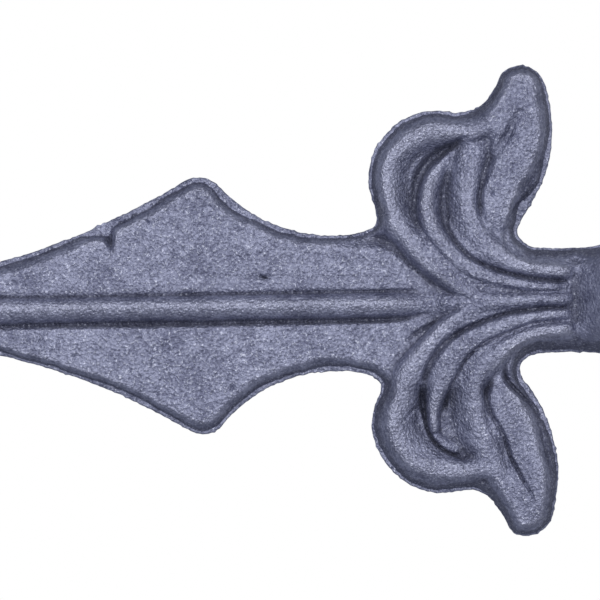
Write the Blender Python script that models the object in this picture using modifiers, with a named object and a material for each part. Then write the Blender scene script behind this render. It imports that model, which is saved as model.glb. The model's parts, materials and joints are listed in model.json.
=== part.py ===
"""Forged steel baluster: a square bar that swells into a collar, opens into a pair of curled leaves
and a spear blade, and is drawn out to a square bar again. It is one forging, pressed between two
matching dies, so a quarter of it is modelled and mirrored twice."""

import math

import bmesh
import bpy
import numpy as np
from mathutils import Vector
from mathutils.geometry import delaunay_2d_cdt

MM = 0.001

BALUSTER_HEIGHT = 900 * MM
BAR_SIDE = 12 * MM
BAR_EDGE_ROUND = 0.8 * MM
MOTIF_BASE = 412 * MM            # height of the neck's lower end, where the collar stops
MOTIF_LENGTH = 96 * MM           # from there to where the blade is a square bar again
LEAF_SPAN = 55.2 * MM            # from leaf tip to leaf tip
NECK_WIDTH = 12.3 * MM
BLADE_WIDTH = 30.2 * MM
COLLAR_WIDTH = 15.8 * MM
COLLAR_LENGTH = 11 * MM
COLLAR_BULGE = 1.45 * MM         # how far the collar's middle stands out past its ends

NECK_THICKNESS = 9.6 * MM        # over the ribs
NECK_GROUND = 7.4 * MM           # between the ribs
LEAF_THICKNESS = 7.2 * MM        # over the leaf's ridges
HOLLOW_THICKNESS = 3.8 * MM      # in the leaf's hollows
BLADE_THICKNESS = 4.8 * MM
MIDRIB_HEIGHT = 1.0 * MM         # above the blade's face
MIDRIB_HALF_WIDTH = 1.25 * MM
RIDGE_DROP = 0.8 * MM            # how far a ridge falls at its half width
NOSE_DROP = 0.8 * MM             # how far it falls at the nose it starts with
TRIM_RIM_WIDTH = 0.45 * MM       # the thin rim left where the flash was trimmed
TRIM_RIM_THICKNESS = 1.0 * MM
DRAFT_RISE = 3.0                 # height gained by the side wall for each unit inwards
EDGE_BLEND = 0.7 * MM            # rounding between side wall and face
RIDGE_BLEND = 0.6 * MM           # rounding where ridges and hollows meet

# The motif is drawn once, in millimetres at its nominal size: (along the axis, out from it).
DRAWN_LENGTH = 96.0
DRAWN_SPAN = 55.2
DRAWN_NECK = 12.3
DRAWN_BLADE = 30.2
BLADE_STARTS = 28.0              # along the drawing, where the outline stops being leaf
LEAF_STARTS = 7.6                # and where the neck opens into it
DRAWN_OUT = (64.0, 95.0)         # where the midrib starts to widen, and where it is the bar
SHOULDER_ROWS = 72.0             # where the mesh goes over to rows across the steel

NECK_OUTLINE = [(2.5, 6.15), (6.3, 6.15)]
LEAF_OUTLINE = [
    (8.3, 6.45), (9.55, 7.9), (9.0, 9.6), (7.35, 12.3), (5.95, 16.0), (5.45, 20.0), (5.85, 24.0),
    (6.9, 26.6), (8.8, 27.6), (10.9, 26.9), (12.1, 24.7), (14.0, 22.7), (16.8, 22.2), (20.0, 22.3),
    (23.2, 21.1), (25.7, 18.9), (26.95, 15.4), (26.85, 12.7), (26.1, 10.7), (26.35, 9.1),
]
BLADE_OUTLINE = [
    (28.2, 8.2), (31.5, 7.95), (35.5, 8.4), (39.5, 9.95), (42.8, 12.2), (45.1, 14.4), (46.9, 15.1),
    (48.8, 14.6), (53.0, 12.15), (58.0, 9.75), (63.0, 7.75), (68.0, 6.15), (73.0, 5.0), (78.0, 4.45),
]
SHOULDER_OUTLINE = [(84.0, 4.9), (89.5, 5.8)]

# Ridges on each half of the motif: path, half width at its two ends, height above the leaf's own
# crest level at its two ends, and how flat its top is (2 is a round bead, more is flatter).
RIDGES = {
    "outer_rim": (
        [(15.0, 0.9), (16.6, 1.9), (19.0, 3.7), (21.6, 6.7), (23.6, 9.2), (24.4, 11.8), (24.85, 14.6),
         (24.3, 17.2), (22.4, 19.1), (19.4, 19.9), (16.2, 20.0), (13.4, 20.7), (11.4, 22.8), (10.1, 25.4)],
        (1.15, 1.25), (0.0, -0.1), 2.0),
    "inner_rib": (
        [(3.6, 1.75), (8.8, 2.05), (13.2, 3.2), (16.4, 4.95), (18.6, 7.3), (20.0, 10.2), (20.4, 13.0),
         (19.6, 15.4), (17.6, 17.2)],
        (1.05, 0.95), (0.0, -1.0), 2.0),
    "outer_rib": (
        [(3.6, 3.5), (8.8, 4.0), (11.9, 5.4), (14.4, 7.8), (15.4, 10.6), (15.4, 13.6), (14.7, 16.6),
         (13.6, 19.0)],
        (1.05, 1.2), (0.05, -0.5), 2.0),
    "tip_lobe": (
        [(12.6, 8.6), (12.0, 11.4), (10.9, 14.6), (9.4, 18.4), (8.1, 22.2), (8.2, 24.8)],
        (1.9, 1.3), (-0.3, -0.4), 3.0),
    "centre_rib": ([(3.6, 0.0), (15.2, 0.0)], (1.0, 1.3), (0.05, 0.0), 2.0),
}
# Lines that only guide the mesh: the bottoms of the grooves.
GROOVES = [
    [(4.0, 2.7), (8.8, 3.1), (12.3, 4.2), (15.6, 6.2), (17.7, 8.9), (18.0, 12.0), (17.0, 15.6)],
    [(4.0, 0.95), (9.0, 1.1), (13.0, 1.7), (17.0, 3.6), (20.0, 6.6), (22.0, 9.6), (22.6, 13.0), (21.4, 16.8)],
    [(13.6, 9.0), (14.0, 12.0), (12.7, 16.0), (10.8, 19.6), (9.4, 22.6)],
    [(17.4, 0.8), (20.6, 3.2), (23.3, 5.9), (25.2, 8.4)],
]
# Where those rows have their points, as shares of the half width: on the neck, ribs and grooves.
ROW_SHARES = np.array([0.0, 0.155, 0.29, 0.44, 0.585, 0.70, 0.81, 0.925])

OUTLINE_STEP = 1.2 * MM
RIDGE_STEP = 1.15 * MM
LEAF_STEP = 1.2 * MM
BLADE_STEP = 3.4 * MM
SHARP_ANGLE = math.radians(40)
STEEL = (0.20, 0.205, 0.26, 1.0)


def along(u):
    """Real distance along the axis from the neck's lower end, for a drawn one."""
    return u * MOTIF_LENGTH / DRAWN_LENGTH


def across(u, v):
    """Real distance out from the axis, for a drawn point: the neck, the leaf beyond it and the blade
    each follow their own width."""
    if u > BLADE_STARTS:
        return v * BLADE_WIDTH / DRAWN_BLADE
    neck, drawn_neck = NECK_WIDTH / 2, DRAWN_NECK / 2
    if v <= drawn_neck:
        return v * neck / drawn_neck
    return neck + (v - drawn_neck) * (LEAF_SPAN / 2 - neck) / (DRAWN_SPAN / 2 - drawn_neck)


def drawn(points):
    return np.array([(along(u), across(u, v)) for u, v in points])


def smooth_path(points, step):
    """Points a step apart on a Catmull-Rom curve through the given ones."""
    p = np.asarray(points, float)
    p = np.vstack([2 * p[0] - p[1], p, 2 * p[-1] - p[-2]])
    fine = []
    for a, b, c, d in zip(p[:-3], p[1:-2], p[2:-1], p[3:]):
        t = np.linspace(0, 1, 24, endpoint=False)[:, None]
        fine.append(0.5 * (2 * b + (c - a) * t + (2 * a - 5 * b + 4 * c - d) * t**2
                           + (3 * b - a - 3 * c + d) * t**3))
    fine = np.vstack(fine + [p[-2:-1]])
    run = np.concatenate([[0], np.cumsum(np.linalg.norm(np.diff(fine, axis=0), axis=1))])
    marks = np.linspace(0, run[-1], max(2, round(run[-1] / step) + 1))
    return np.column_stack([np.interp(marks, run, fine[:, k]) for k in (0, 1)])


def distance_to_path(points, path):
    """Each point's distance to a path, and the share of the path at which it is nearest."""
    start, step = path[:-1], np.diff(path, axis=0)
    length = np.linalg.norm(step, axis=1)
    offset = points[:, None] - start
    t = np.clip((offset * step).sum(2) / length**2, 0, 1)
    gap = np.linalg.norm(offset - t[..., None] * step, axis=2)
    nearest = gap.argmin(1)
    row = np.arange(len(points))
    run = np.concatenate([[0], np.cumsum(length)])
    return gap[row, nearest], (run[nearest] + t[row, nearest] * length[nearest]) / run[-1]


def ramp(x, low, high):
    """Rises smoothly from 0 at low to 1 at high."""
    t = np.clip((x - low) / (high - low), 0, 1)
    return t * t * (3 - 2 * t)


def blend_min(a, b, width):
    h = np.clip(0.5 + 0.5 * (b - a) / width, 0, 1)
    return b + (a - b) * h - width * h * (1 - h)


def blend_max(a, b, width):
    return -blend_min(-a, -b, width)


COLLAR_CENTRE = -COLLAR_LENGTH / 2
BAR_BELOW = -COLLAR_LENGTH - 6 * MM      # the modelled motif's lower end, already plain bar
BAR_ABOVE = MOTIF_LENGTH + 5 * MM        # and its upper end


def collar_radius(u):
    return COLLAR_WIDTH / 2 - COLLAR_BULGE * ((u - COLLAR_CENTRE) / (COLLAR_LENGTH / 2)) ** 2


def motif_outline(step):
    """The right-hand outline of the motif, from plain bar below the collar to plain bar above."""
    bar = BAR_SIDE / 2
    below = np.array([(BAR_BELOW, bar), (-COLLAR_LENGTH - 0.8 * MM, bar)])
    collar = np.array([(u, collar_radius(u)) for u in np.linspace(-COLLAR_LENGTH, 0, 7)])
    motif = drawn(NECK_OUTLINE + LEAF_OUTLINE + BLADE_OUTLINE)
    shoulder = np.array([(along(u), v * bar / 6.0) for u, v in SHOULDER_OUTLINE])
    above = np.array([(MOTIF_LENGTH - 0.5 * MM, bar), (BAR_ABOVE, bar)])
    curve = smooth_path(np.vstack([collar, motif, shoulder, above[:1]]), step)
    straight = curve[:, 0] > along(50)
    curve = np.vstack([curve[~straight], curve[straight][::-2][::-1]])
    return np.vstack([smooth_path(below, step), curve, smooth_path(above, 2 * step)[1:]])


def stem_and_blade(outline):
    """The stretches of the outline before it turns back round the leaf, and after it."""
    backwards = np.flatnonzero(np.diff(outline[:, 0]) <= 0)
    return outline[:backwards[0] + 1], outline[backwards[-1] + 1:]


def midrib_flat(u):
    """Half the width of the midrib's flat top, which grows from a line to the bar's side."""
    return BAR_SIDE / 2 * ramp(u, along(DRAWN_OUT[0]), along(DRAWN_OUT[1]))


def leaf_and_neck(points):
    """The ribbed surface of the leaves, without the blade."""
    u = points[:, 0]
    to_leaf = ramp(u, along(5), along(15))
    crest = NECK_THICKNESS / 2 + (LEAF_THICKNESS - NECK_THICKNESS) / 2 * to_leaf
    ground = NECK_GROUND / 2 + (HOLLOW_THICKNESS - NECK_GROUND) / 2 * to_leaf
    face = ground.copy()
    for path, half_widths, lifts, flatness in RIDGES.values():
        gap, share = distance_to_path(points, smooth_path(drawn(path), RIDGE_STEP))
        half_width = (half_widths[0] + (half_widths[1] - half_widths[0]) * share) * MM
        lift = (lifts[0] + (lifts[1] - lifts[0]) * ramp(share, 0.6, 1.0)) * MM
        lift = lift - NOSE_DROP * (1 - ramp(share, 0, 0.08))
        ridge = crest + lift - RIDGE_DROP * (gap / half_width) ** flatness
        face = blend_max(face, ridge, RIDGE_BLEND)
    return face, ground


def half_thickness(points, outline):
    """Half the steel's thickness over each point of the plan."""
    u, v = points[:, 0], points[:, 1]
    bar, blade = BAR_SIDE / 2, BLADE_THICKNESS / 2
    face, ground = leaf_and_neck(points)

    # The blade's flat face starts outside the leaf's outer rim, and carries the midrib.
    rim = smooth_path(drawn(RIDGES["outer_rim"][0][:7]), RIDGE_STEP)
    rim_u = np.interp(v, rim[:, 1], rim[:, 0])
    on_blade = ramp(u, rim_u - 0.3 * MM, rim_u + 0.9 * MM)
    face = np.maximum(face, ground + (blade - ground) * on_blade)
    flat = midrib_flat(u)
    top = blade + MIDRIB_HEIGHT + (bar - blade - MIDRIB_HEIGHT) * flat / bar
    past = np.maximum(0, v - flat) / MIDRIB_HALF_WIDTH
    nose = np.maximum(0, along(20.4) - u) / MIDRIB_HALF_WIDTH
    face = blend_max(face, top - MIDRIB_HEIGHT * (past**2 + nose**2), RIDGE_BLEND)

    # Below the neck the collar's barrel stands over the bar.
    stem, _ = stem_and_blade(outline)
    across_barrel = np.minimum(1, v / np.interp(u, stem[:, 0], stem[:, 1]))
    barrel = np.maximum(0, collar_radius(u)) * (1 - across_barrel**2.8) ** (1 / 2.8)
    face = face + (bar - face) * ramp(-u, -along(1.5), COLLAR_LENGTH / 2)
    face = blend_max(face, barrel, 0.8 * MM)
    on_bar = np.maximum(ramp(-u, COLLAR_LENGTH - 0.5 * MM, COLLAR_LENGTH + 3 * MM),
                        ramp(u, along(88), along(97)))
    face = face + (bar - face) * on_bar

    # The side wall climbs from the trimmed rim, which dies out into the square bar's own side.
    square = np.maximum(ramp(-u, -1 * MM, COLLAR_LENGTH + 3 * MM), ramp(u, along(78), along(97)))
    rim_half = TRIM_RIM_THICKNESS / 2
    edge = rim_half + (bar - BAR_EDGE_ROUND - rim_half) * square
    inward, _ = distance_to_path(points, outline)
    wall = edge + DRAFT_RISE * np.maximum(0, inward - TRIM_RIM_WIDTH * (1 - square))
    return blend_min(wall, face, EDGE_BLEND), edge


def spread(kept, points, apart):
    """The given points that are at least that far from the kept ones and from each other."""
    kept = list(map(tuple, kept))
    for p in points:
        if np.hypot(*(np.array(kept) - p).T).min() >= apart:
            kept.append(tuple(p))
    return kept


def inset(outline, by):
    """The outline moved inwards, without the stretches where it would cross itself."""
    tangent = np.gradient(outline, axis=0)
    normal = np.column_stack([tangent[:, 1], -tangent[:, 0]])
    moved = outline + by * normal / np.linalg.norm(normal, axis=1)[:, None]
    gap, _ = distance_to_path(moved, outline)
    return moved[(gap > 0.93 * by) & (moved[:, 1] > 0)]


def rows(side, low, high):
    """Points in a row across the steel from each outline point, at shares of its half width."""
    return [(u, width * share) for u, width in side if low < u < high for share in ROW_SHARES]


def plan_points(outline):
    """The boundary loop of the half plan, and the points inside it that carry its relief."""
    stem, blade = stem_and_blade(outline)
    shoulder = along(SHOULDER_ROWS)
    across_bar = BAR_SIDE / 2 * ROW_SHARES
    bottom_end = np.column_stack([np.full(len(across_bar), BAR_BELOW), across_bar])
    top_end = np.column_stack([np.full(len(across_bar), BAR_ABOVE), across_bar[::-1]])
    boundary = np.vstack([outline, top_end, bottom_end])

    inner = list(map(tuple, boundary))
    inner = spread(inner, rows(stem, BAR_BELOW, along(LEAF_STARTS - 1)), 0.2 * MM)
    inner = spread(inner, rows(blade, shoulder, BAR_ABOVE), 0.2 * MM)
    leaf = outline[(outline[:, 0] > along(LEAF_STARTS - 3)) & (outline[:, 0] < shoulder)]
    for by in (TRIM_RIM_WIDTH, 1.1 * MM, 1.75 * MM):
        inner = spread(inner, inset(leaf, by), min(0.42 * MM, 0.9 * by))
    for line in [path for path, *_ in RIDGES.values()] + GROOVES:
        inner = spread(inner, smooth_path(drawn(line), RIDGE_STEP), 0.62 * MM)
    stations = np.arange(along(20.4), shoulder, BLADE_STEP)
    for beside in (0 * stations, midrib_flat(stations) + 0.52 * MIDRIB_HALF_WIDTH,
                   midrib_flat(stations) + 1.08 * MIDRIB_HALF_WIDTH):
        inner = spread(inner, np.column_stack([stations, beside]), 0.5 * MM)
    leaf_ends = along(BLADE_STARTS - 1)
    for low, high, step in ((along(LEAF_STARTS), leaf_ends, LEAF_STEP), (leaf_ends, shoulder, BLADE_STEP)):
        u, v = np.meshgrid(np.arange(low, high, step * 0.87), np.arange(0, LEAF_SPAN / 2, step))
        v = v + (np.arange(u.shape[1]) % 2) * step / 2
        inner = spread(inner, np.column_stack([u.ravel(), v.ravel()]), 0.72 * step)
    inner = np.array(inner[len(boundary):])
    return boundary, inner[inside(inner, boundary) | (inner[:, 1] == 0)]


def inside(points, loop):
    """Which points lie inside a closed loop."""
    a, b = loop, np.roll(loop, -1, axis=0)
    x, y = points[:, :1], points[:, 1:]
    crossing = (a[:, 1] > y) != (b[:, 1] > y)
    rise = np.where(b[:, 1] == a[:, 1], 1, b[:, 1] - a[:, 1])
    at = a[:, 0] + (y - a[:, 1]) * (b[:, 0] - a[:, 0]) / rise
    return (crossing & (x < at)).sum(1) % 2 == 1


def draw_down(bm, edges):
    """Extrudes edges of the face down to the parting plane."""
    made = bmesh.ops.extrude_edge_only(bm, edges=edges)
    for part in made["geom"]:
        if isinstance(part, bmesh.types.BMVert):
            part.co.y = 0.0


def draw_out_bar(bm, start, stop):
    """Extrudes the section at one end of the motif along the bar, and closes the bar's end."""
    at_end = [e for e in bm.edges if e.is_boundary
              and all(abs(w.co.z - start) < 1e-7 for w in e.verts)]
    made = bmesh.ops.extrude_edge_only(bm, edges=at_end)
    section = [part for part in made["geom"] if isinstance(part, bmesh.types.BMVert)]
    for vert in section:
        vert.co.z = stop
    section.sort(key=lambda vert: math.atan2(vert.co.x, -vert.co.y))
    bm.faces.new([bm.verts.new((0, 0, stop)), *section])


def quarter_mesh():
    """The front right quarter of the baluster, open at its two mirror planes."""
    outline = motif_outline(OUTLINE_STEP)
    boundary, inner = plan_points(outline)
    loop = [(k, (k + 1) % len(boundary)) for k in range(len(boundary))]
    plan = [Vector(p) for p in np.vstack([boundary, inner])]
    corners, _, faces, *_ = delaunay_2d_cdt(plan, loop, [], 1, 1e-7)
    plan = np.array([tuple(c) for c in corners])
    height, edge = half_thickness(plan, outline)
    on_outline = distance_to_path(plan, outline)[0] < 1e-6
    height = np.where(on_outline, edge, height)

    bm = bmesh.new()
    top = [bm.verts.new((v, -h, MOTIF_BASE + u)) for (u, v), h in zip(plan, height)]
    for face in faces:
        bm.faces.new([top[k] for k in face])
    rim = {top[k] for k in np.flatnonzero(on_outline)}
    draw_down(bm, [e for e in bm.edges if e.is_boundary and rim.issuperset(e.verts)])
    draw_out_bar(bm, MOTIF_BASE + BAR_BELOW, 0.0)
    draw_out_bar(bm, MOTIF_BASE + BAR_ABOVE, BALUSTER_HEIGHT)

    bmesh.ops.recalc_face_normals(bm, faces=bm.faces)
    if sum(face.normal.y * face.calc_area() for face in bm.faces) > 0:
        bmesh.ops.reverse_faces(bm, faces=bm.faces)
    mesh = bpy.data.meshes.new("baluster")
    bm.to_mesh(mesh)
    bm.free()
    mesh.shade_smooth()
    mesh.set_sharp_from_angle(angle=SHARP_ANGLE)
    return mesh


def steel():
    material = bpy.data.materials.new("forged_steel")
    material.use_nodes = True
    shader = material.node_tree.nodes["Principled BSDF"]
    shader.inputs["Base Color"].default_value = STEEL
    shader.inputs["Roughness"].default_value = 0.75
    shader.inputs["Metallic"].default_value = 0.9
    return material


def main():
    for old in list(bpy.data.objects):
        bpy.data.objects.remove(old)
    collection = bpy.data.collections.new("baluster")
    bpy.context.scene.collection.children.link(collection)
    baluster = bpy.data.objects.new("baluster", quarter_mesh())
    collection.objects.link(baluster)
    baluster.data.materials.append(steel())
    mirror = baluster.modifiers.new("two_dies_two_leaves", "MIRROR")
    mirror.use_axis = (True, True, False)
    mirror.merge_threshold = 1e-6


main()
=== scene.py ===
# %% [markdown]
# # A forged steel baluster, close up
#
# The object is an upright for a stair or balcony railing: a square steel bar with an ornament forged
# in the middle of it. From the bottom up it goes bar, rounded collar, neck, two curled leaves with
# ribs, and a flat spear blade with a midrib that is drawn out to the bar again.
#
# The photograph shows only the ornament, lying on its side: the picture's left is up on the
# baluster. So this lesson spends its effort there, and finishes the two bars plainly.

import json
import math

import bmesh
import bpy
import numpy as np
from mathutils import Matrix, Vector
from mathutils.geometry import delaunay_2d_cdt

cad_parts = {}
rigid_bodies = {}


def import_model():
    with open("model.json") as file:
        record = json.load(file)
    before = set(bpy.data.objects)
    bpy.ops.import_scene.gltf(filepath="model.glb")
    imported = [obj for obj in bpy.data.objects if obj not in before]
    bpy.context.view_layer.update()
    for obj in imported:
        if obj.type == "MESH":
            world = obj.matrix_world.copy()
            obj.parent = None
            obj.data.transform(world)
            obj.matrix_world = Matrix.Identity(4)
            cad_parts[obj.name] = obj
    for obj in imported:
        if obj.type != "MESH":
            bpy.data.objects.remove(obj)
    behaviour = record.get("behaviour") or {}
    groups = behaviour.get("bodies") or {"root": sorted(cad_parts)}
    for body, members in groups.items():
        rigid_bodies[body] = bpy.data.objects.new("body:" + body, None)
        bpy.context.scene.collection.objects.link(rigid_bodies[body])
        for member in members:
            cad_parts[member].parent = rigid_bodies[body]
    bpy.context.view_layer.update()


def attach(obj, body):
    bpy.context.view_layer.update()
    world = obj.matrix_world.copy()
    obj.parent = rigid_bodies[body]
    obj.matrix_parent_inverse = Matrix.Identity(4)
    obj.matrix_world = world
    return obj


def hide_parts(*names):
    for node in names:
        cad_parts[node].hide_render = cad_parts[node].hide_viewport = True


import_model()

# %% [markdown]
# ## One drawing for everything
#
# A forging like this starts as a drawing of its die. The same is done here: every line is drawn in
# millimetres on a flat sheet, with `u` along the bar from the neck's lower end upwards, and `v`
# across it, positive on the leaf that is on top in the photograph. One function turns that sheet
# into the baluster's own frame, and nothing else in the script knows where the ornament sits.

# %% From the drawing to the baluster
MM = 0.001
NECK_HEIGHT = 0.412
TOP = 0.9
BAR_HALF = 6.0
BAR_ENDS_BELOW = -17.0
BAR_STARTS_ABOVE = 101.0


def placed(u, v, y):
    """Points of the drawing, with their depth y, in the frame's metres."""
    u, v, y = np.broadcast_arrays(u, v, y)
    return np.column_stack([v * MM, y * MM, NECK_HEIGHT + u * MM])


drawn_from, drawn_to = NECK_HEIGHT + BAR_ENDS_BELOW * MM, NECK_HEIGHT + BAR_STARTS_ABOVE * MM
print("the drawing runs from z =", round(drawn_from, 3), "to", round(drawn_to, 3), "m")

# %% [markdown]
# ## Curves
#
# Every line in the ornament is a flowing curve through a few points. A Catmull-Rom curve passes
# through the points it is given, so what is measured on the photograph is exactly what is drawn.
# It works in any number of columns, and that is used below: a ridge's height and width run along
# its path in the same way as its place does.

# %% A curve through points
PIECE_ROWS = 20


def flow(points, step):
    """Rows a step apart, measured in the first two columns, on a smooth curve through the points."""
    p = np.asarray(points, float)
    p = np.vstack([2 * p[0] - p[1], p, 2 * p[-1] - p[-2]])
    pieces = []
    for a, b, c, d in zip(p[:-3], p[1:-2], p[2:-1], p[3:]):
        t = np.linspace(0, 1, PIECE_ROWS, endpoint=False)[:, None]
        pieces.append(0.5 * (2 * b + (c - a) * t + (2 * a - 5 * b + 4 * c - d) * t**2
                             + (3 * b - a - 3 * c + d) * t**3))
    fine = np.vstack(pieces + [p[-2:-1]])
    run = np.concatenate([[0], np.cumsum(np.hypot(*np.diff(fine[:, :2], axis=0).T))])
    marks = np.linspace(0, run[-1], max(2, round(run[-1] / step) + 1))
    return np.column_stack([np.interp(marks, run, column) for column in fine.T])


arch = flow([(0, 0), (1, 1), (2, 0)], 0.1)
print("a curve through 3 points has", len(arch), "rows and rises to", round(arch[:, 1].max(), 2))

# %% [markdown]
# The forging's shape will depend on how far each point lies from such a curve, and on which side of
# it. That is worked out here once, in batches, because tens of thousands of points against hundreds
# of short segments would fill the memory in one go.

# %% Distance from a curve
BATCH = 4000


def nearest_on(points, path):
    """For each point: distance to the path, side of it (-1 or 1), and the path's row there."""
    result = np.empty((len(points), 2 + path.shape[1]))
    start, step = path[:-1], np.diff(path, axis=0)
    length2 = (step[:, :2] ** 2).sum(1)
    for first in range(0, len(points), BATCH):
        part = points[first:first + BATCH]
        offset = part[:, None] - start[None, :, :2]
        t = np.clip((offset * step[:, :2]).sum(2) / length2, 0, 1)
        gap2 = ((offset - t[..., None] * step[:, :2]) ** 2).sum(2)
        k = gap2.argmin(1)
        row = np.arange(len(part))
        cross = step[k, 0] * offset[row, k, 1] - step[k, 1] * offset[row, k, 0]
        result[first:first + BATCH, 0] = np.sqrt(gap2[row, k])
        result[first:first + BATCH, 1] = np.where(cross > 0, 1, -1)
        result[first:first + BATCH, 2:] = start[k] + t[row, k, None] * step[k]
    return result[:, 0], result[:, 1], result[:, 2:]


print("from (1, 2) to the arch:", round(nearest_on(np.array([(1.0, 2.0)]), arch)[0][0], 2))

# %% [markdown]
# Two more tools shape everything below: a smooth step, and a minimum and maximum that round the
# corner where one surface takes over from another, as a die with worn edges does.

# %% Smooth steps and soft corners
def ramp(x, low, high):
    """Rises smoothly from 0 at low to 1 at high."""
    t = np.clip((x - low) / (high - low), 0, 1)
    return t * t * (3 - 2 * t)


def blend_min(a, b, width):
    """The smaller of the two, with a rounded corner where they meet."""
    h = np.clip(0.5 + 0.5 * (b - a) / width, 0, 1)
    return b + (a - b) * h - width * h * (1 - h)


def blend_max(a, b, width):
    """The larger of the two, with a rounded corner where they meet."""
    return -blend_min(-a, -b, width)


print("halfway up a ramp:", ramp(0.5, 0, 1), "and a rounded corner at 1:", blend_min(1.0, 1.0, 0.4))

# %% [markdown]
# ## The outline
#
# The red-hot bar is squeezed between two dies, and the steel that escapes between them, the flash,
# is trimmed off. What is left of it is a thin rim all round, and that rim is the outline in the
# photograph. The two sides were measured separately, because hand trimming never leaves them quite
# alike. The third number of each point is the width of the rim there.

# %% Outline of both sides
COLLAR = [(-11.0, 6.4, 0.3), (-9.2, 7.15, 0.3), (-7.3, 7.7, 0.3), (-5.5, 7.85, 0.3), (-3.7, 7.7, 0.35),
          (-1.8, 7.2, 0.4)]
UPPER = [
    (0.0, 6.5, 0.2), (2.5, 6.2, 0.25), (6.3, 6.25, 0.3), (8.3, 6.55, 0.4), (9.65, 7.9, 0.55),
    (9.05, 9.7, 0.8), (7.4, 12.4, 0.65), (5.95, 15.75, 0.5), (5.35, 19.8, 0.45), (5.7, 23.7, 0.35),
    (6.7, 26.55, 0.3), (8.9, 27.72, 0.2), (11.0, 27.0, 0.12), (12.0, 25.1, 0.1), (13.9, 22.9, 0.2),
    (16.6, 22.3, 0.3), (19.0, 22.55, 0.3), (21.5, 22.15, 0.3), (24.0, 20.75, 0.3), (26.2, 18.1, 0.28),
    (27.0, 15.2, 0.28), (26.9, 13.2, 0.25), (26.2, 10.6, 0.2), (26.3, 9.2, 0.25), (27.8, 8.4, 0.35),
    (31.2, 8.02, 0.45), (35.2, 8.5, 0.5), (39.3, 9.95, 0.55), (42.6, 12.05, 0.75), (44.9, 14.25, 0.6),
    (46.4, 15.02, 0.5), (48.25, 14.88, 0.45), (50.2, 13.8, 0.45), (54.4, 11.62, 0.45), (58.7, 9.62, 0.4),
    (63.1, 7.85, 0.4), (68.0, 6.2, 0.4), (73.0, 5.0, 0.4), (78.0, 4.45, 0.35), (84.0, 4.9, 0.25),
    (89.5, 5.8, 0.15), (95.5, 6.0, 0.0),
]
LOWER = [
    (0.0, 6.3, 0.2), (2.5, 6.1, 0.25), (6.1, 6.1, 0.3), (8.3, 6.4, 0.35), (9.45, 7.4, 0.35), (9.35, 8.9, 0.4),
    (8.1, 10.7, 0.5), (6.7, 13.3, 0.4), (5.75, 16.25, 0.3), (5.2, 20.2, 0.3), (5.8, 24.55, 0.25),
    (6.6, 26.4, 0.25), (8.8, 27.6, 0.25), (10.85, 26.85, 0.15), (11.95, 24.9, 0.12), (13.4, 23.0, 0.15),
    (15.6, 22.1, 0.3), (19.2, 22.4, 0.35), (22.1, 21.65, 0.35), (24.55, 19.95, 0.35), (26.3, 17.4, 0.3),
    (27.05, 14.6, 0.3), (26.7, 12.2, 0.3), (25.95, 10.3, 0.3), (26.2, 9.05, 0.3), (27.8, 8.25, 0.4),
    (31.5, 7.9, 0.45), (35.6, 8.4, 0.45), (39.6, 9.95, 0.45), (43.0, 12.35, 0.5), (45.0, 14.45, 0.5),
    (46.8, 15.1, 0.45), (48.7, 14.5, 0.45), (51.6, 12.85, 0.45), (56.0, 10.6, 0.4), (60.5, 8.7, 0.4),
    (64.5, 7.25, 0.4), (68.3, 6.1, 0.4), (73.0, 5.0, 0.4), (78.0, 4.45, 0.35), (84.0, 4.9, 0.25),
    (89.5, 5.8, 0.15), (95.5, 6.0, 0.0),
]
print("measured points:", len(UPPER), "on the upper side and", len(LOWER), "on the lower")

# %% [markdown]
# A drawn curve looks too clean for a forging. Each side is therefore made slightly uneven, with a
# small burr here and there and a rim whose width wanders. The random draws have a fixed seed, so the
# same nicks come out on every run. The collar is turned round the bar and needs no trimming.

# %% Trim the outline and add the bars
OUTLINE_STEP = 0.36
NICK_DEPTH = 0.03
BURR_HEIGHT = 0.16
BURR_EVERY = 16
RIM_WANDER = 0.22
WANDER_WINDOW = np.hanning(15) / 2
WANDER_LIMIT = 1.5
BAR_POINTS = 12


def trimmed(outline, seed):
    """The outline as hand trimming leaves it: slightly uneven, with a burr here and there."""
    chance = np.random.default_rng(seed)
    out = chance.normal(0, NICK_DEPTH, len(outline))
    burrs = chance.choice(len(outline), len(outline) // BURR_EVERY, replace=False)
    out[burrs] += chance.uniform(0.3, 1.0, len(burrs)) * BURR_HEIGHT
    tangent = np.gradient(outline[:, :2], axis=0)
    outward = np.column_stack([-tangent[:, 1], tangent[:, 0]]) / np.linalg.norm(tangent, axis=1)[:, None]
    on_leaf = ramp(outline[:, 0], -1, 3) * ramp(-outline[:, 0], -92, -80)
    moved = outline.copy()
    moved[:, :2] += (out * on_leaf)[:, None] * outward
    wander = np.convolve(chance.normal(0, 1, len(outline)), WANDER_WINDOW, mode="same")
    moved[:, 2] *= 1 + RIM_WANDER * np.clip(wander, -WANDER_LIMIT, WANDER_LIMIT)
    return moved


def bar_side(first, last):
    """A stretch of the bar's straight side, as rows of u, v and a rim width of 0."""
    return np.array([(u, BAR_HALF, 0.0) for u in np.linspace(first, last, BAR_POINTS)])


def side_outline(measured, seed):
    """One side's outline from the bar below to the bar above, as rows of u, v and rim width."""
    motif = trimmed(flow(COLLAR + measured, OUTLINE_STEP), seed)
    return np.vstack([bar_side(BAR_ENDS_BELOW, -11.9), motif, bar_side(96.0, BAR_STARTS_ABOVE)])


upper, lower = side_outline(UPPER, 5), side_outline(LOWER, 8)
lower[:, 1] *= -1
print("outline points:", len(upper), "on the upper side,", len(lower), "on the lower")

# %% [markdown]
# ## Ridges and hollows
#
# The leaves are drawn with ridges: an outer rim that curls round each leaf, ribs that gather on the
# neck, and a broad lobe that runs out to the tip. Each ridge is a path, and each point of the path
# says how high its crest stands over the middle of the steel and how far its two flanks reach, first
# towards the blade and then towards the collar. The top is round and the flank steep, so that
# ridges meet in narrow dark valleys, as they do where hot steel has been pressed together.

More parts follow.
